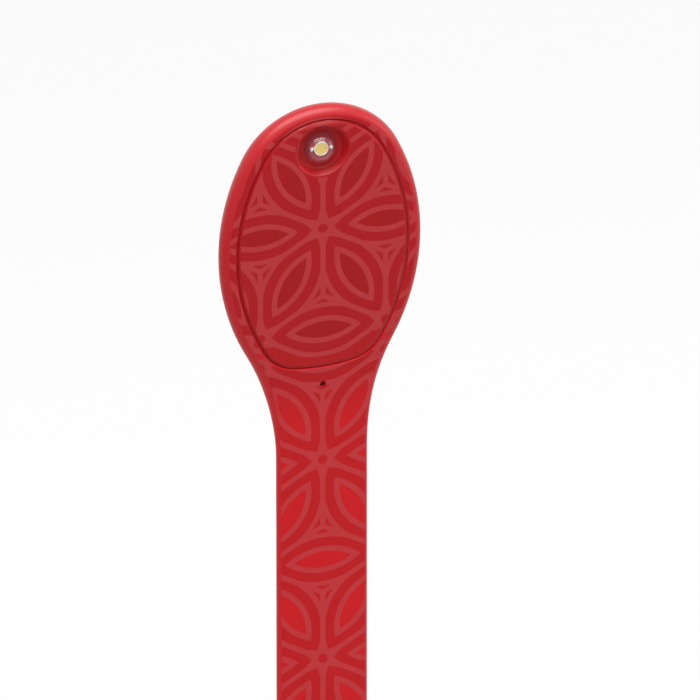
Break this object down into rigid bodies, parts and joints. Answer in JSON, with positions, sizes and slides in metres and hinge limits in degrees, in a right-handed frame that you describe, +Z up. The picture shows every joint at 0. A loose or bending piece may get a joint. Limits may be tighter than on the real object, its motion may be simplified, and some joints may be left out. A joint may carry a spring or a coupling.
{
  "type": "flexible reading light",
  "caption": "Slim page-marking reading light: racquet-shaped head with a domed lamp in a dish, on a flat tail that bends at its neck, with a rear push button and battery door.",
  "frame": {"origin": "middle of the tail blade's lower end, half way through its thickness", "axes": "+Z up along the tail to the head, -Y out of the face with the lamp, +X to the right seen from the front"},
  "size_m": [0.042, 0.0057, 0.185],
  "materials": {
    "soft_touch_skin": "soft-touch satin",
    "printed_panel": "satin with a tone-on-tone print",
    "frame_plastic": "moulded",
    "clear_lens": "clear and polished",
    "phosphor": "matt",
    "plated_metal": "bright plating",
    "board_laminate": "solder mask",
    "black_ceramic": "glazed",
    "switch_plastic": "moulded",
    "button_rubber": "soft-touch satin",
    "cell_case": "bright",
    "door_plastic": "satin",
    "screw_steel": "zinc-plated",
    "bend_metal": "rolled and annealed"
  },
  "bodies": {
    "tail": {"tail_blade": "soft_touch_skin", "bend_strip_tail": "bend_metal", "neck_sleeve_lower": "soft_touch_skin"},
    "neck_link_lower": {"bend_strip_lower": "bend_metal", "neck_sleeve_middle": "soft_touch_skin"},
    "neck_link_upper": {"bend_strip_upper": "bend_metal", "neck_sleeve_upper": "soft_touch_skin"},
    "head": {"head_skin": "soft_touch_skin", "face_panel": "printed_panel", "inner_frame": "frame_plastic", "led_lens": "clear_lens", "led_phosphor": "phosphor", "led_lead_frame": "plated_metal", "circuit_board": "board_laminate", "resistor": "black_ceramic", "switch_body": "switch_plastic", "cell_lower": "cell_case", "cell_upper": "cell_case", "contact_negative": "plated_metal", "contact_positive": "plated_metal", "bend_strip_head": "bend_metal"},
    "button": {"power_button": "button_rubber", "switch_plunger": "switch_plastic"},
    "door": {"battery_door": "door_plastic", "door_screw": "screw_steel", "contact_link": "plated_metal"}
  },
  "joints": [
    {"name": "neck_bend_lower", "type": "hinge", "parent": "tail", "child": "neck_link_lower", "pos_m": [0, 0, 0.07271], "axis": [1, 0, 0], "range_deg": [-30, 30], "deforming": ["neck_sleeve_lower"]},
    {"name": "neck_bend_middle", "type": "hinge", "parent": "neck_link_lower", "child": "neck_link_upper", "pos_m": [0, 0, 0.08671], "axis": [1, 0, 0], "range_deg": [-30, 30], "deforming": ["neck_sleeve_middle"]},
    {"name": "neck_bend_upper", "type": "hinge", "parent": "neck_link_upper", "child": "head", "pos_m": [0, 0, 0.10071], "axis": [1, 0, 0], "range_deg": [-30, 30], "deforming": ["neck_sleeve_upper"]},
    {"name": "button_press", "type": "slide", "parent": "head", "child": "button", "axis": [0, -1, 0], "range_m": [0, 0.0003], "stiffness_N_per_m": 2000},
    {"name": "battery_door_open", "type": "hinge", "parent": "head", "child": "door", "pos_m": [-0.0112, 0.0038, 0.1498], "axis": [0, 0, 1], "range_deg": [0, 75]}
  ]
}
